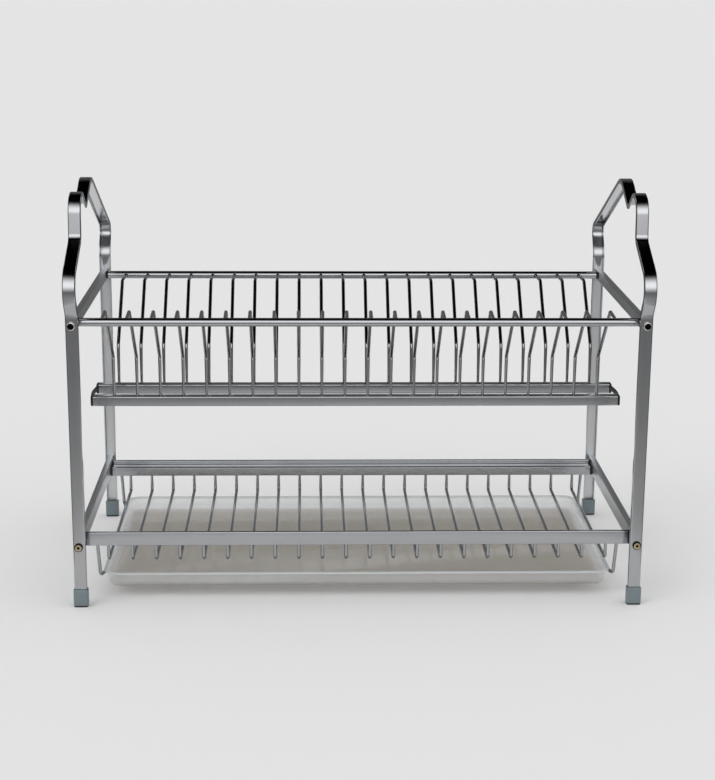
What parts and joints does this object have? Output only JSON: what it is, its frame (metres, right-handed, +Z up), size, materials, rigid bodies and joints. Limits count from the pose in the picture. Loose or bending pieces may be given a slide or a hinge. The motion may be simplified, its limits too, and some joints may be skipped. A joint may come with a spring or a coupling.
{
  "type": "two-tier dish drainer",
  "caption": "Free-standing two-tier dish drainer: bent channel side frames with handles, wire plate rack above, wire rack below, pull-out drip tray.",
  "frame": {"origin": "on the floor, in the middle of the four feet", "axes": "+X to the right along the drainer, +Y to the rear, +Z up"},
  "size_m": [0.5542, 0.3057, 0.4005],
  "materials": {
    "handle_aluminium": "polished, anodised channel",
    "satin_aluminium": "satin, anodised extrusion",
    "rack_aluminium": "satin, with drawn wire",
    "wire_aluminium": "drawn wire, half bright",
    "black_plastic": "moulded, half matt",
    "foot_plastic": "moulded, grey with a blue cast",
    "tray_plastic": "clear smoky plastic, seen as grey",
    "screw_steel": "blackened pan-head screw"
  },
  "bodies": {
    "rack": {"left_side_frame": "handle_aluminium", "right_side_frame": "handle_aluminium", "foot_cap_front_left": "foot_plastic", "foot_cap_front_right": "foot_plastic", "foot_cap_rear_left": "foot_plastic", "foot_cap_rear_right": "foot_plastic", "upper_side_rail_left": "satin_aluminium", "lower_side_rail_left": "satin_aluminium", "upper_side_rail_right": "satin_aluminium", "lower_side_rail_right": "satin_aluminium", "upper_front_tube": "satin_aluminium", "lower_front_rail": "satin_aluminium", "front_plate_rack": "rack_aluminium", "upper_rear_tube": "satin_aluminium", "lower_rear_rail": "satin_aluminium", "rear_plate_rack": "rack_aluminium", "rack_end_piece_left": "black_plastic", "rack_end_piece_right": "black_plastic", "lower_wire_01": "wire_aluminium", "lower_wire_02": "wire_aluminium", "lower_wire_03": "wire_aluminium", "lower_wire_04": "wire_aluminium", "lower_wire_05": "wire_aluminium", "lower_wire_06": "wire_aluminium", "lower_wire_07": "wire_aluminium", "lower_wire_08": "wire_aluminium", "lower_wire_09": "wire_aluminium", "lower_wire_10": "wire_aluminium", "lower_wire_11": "wire_aluminium", "lower_wire_12": "wire_aluminium", "lower_wire_13": "wire_aluminium", "lower_wire_14": "wire_aluminium", "lower_wire_15": "wire_aluminium", "lower_wire_16": "wire_aluminium", "lower_wire_17": "wire_aluminium", "lower_wire_18": "wire_aluminium", "lower_wire_19": "wire_aluminium", "lower_wire_20": "wire_aluminium", "lower_wire_21": "wire_aluminium", "lower_wire_22": "wire_aluminium", "tray_hanger_left": "wire_aluminium", "tray_hanger_right": "wire_aluminium", "screw_upper_front_left": "screw_steel", "screw_upper_front_right": "screw_steel", "screw_upper_rear_left": "screw_steel", "screw_upper_rear_right": "screw_steel", "screw_lower_front_left": "screw_steel", "screw_lower_front_right": "screw_steel", "screw_lower_rear_left": "screw_steel", "screw_lower_rear_right": "screw_steel", "tube_plug_front_left": "black_plastic", "rail_plug_front_left": "black_plastic", "tube_plug_front_right": "black_plastic", "rail_plug_front_right": "black_plastic", "tube_plug_rear_left": "black_plastic", "rail_plug_rear_left": "black_plastic", "tube_plug_rear_right": "black_plastic", "rail_plug_rear_right": "black_plastic"},
    "tray": {"drip_tray": "tray_plastic"}
  },
  "joints": [
    {"name": "tray_slide", "type": "slide", "parent": "rack", "child": "tray", "axis": [0, -1, 0], "range_m": [0, 0.25]}
  ]
}
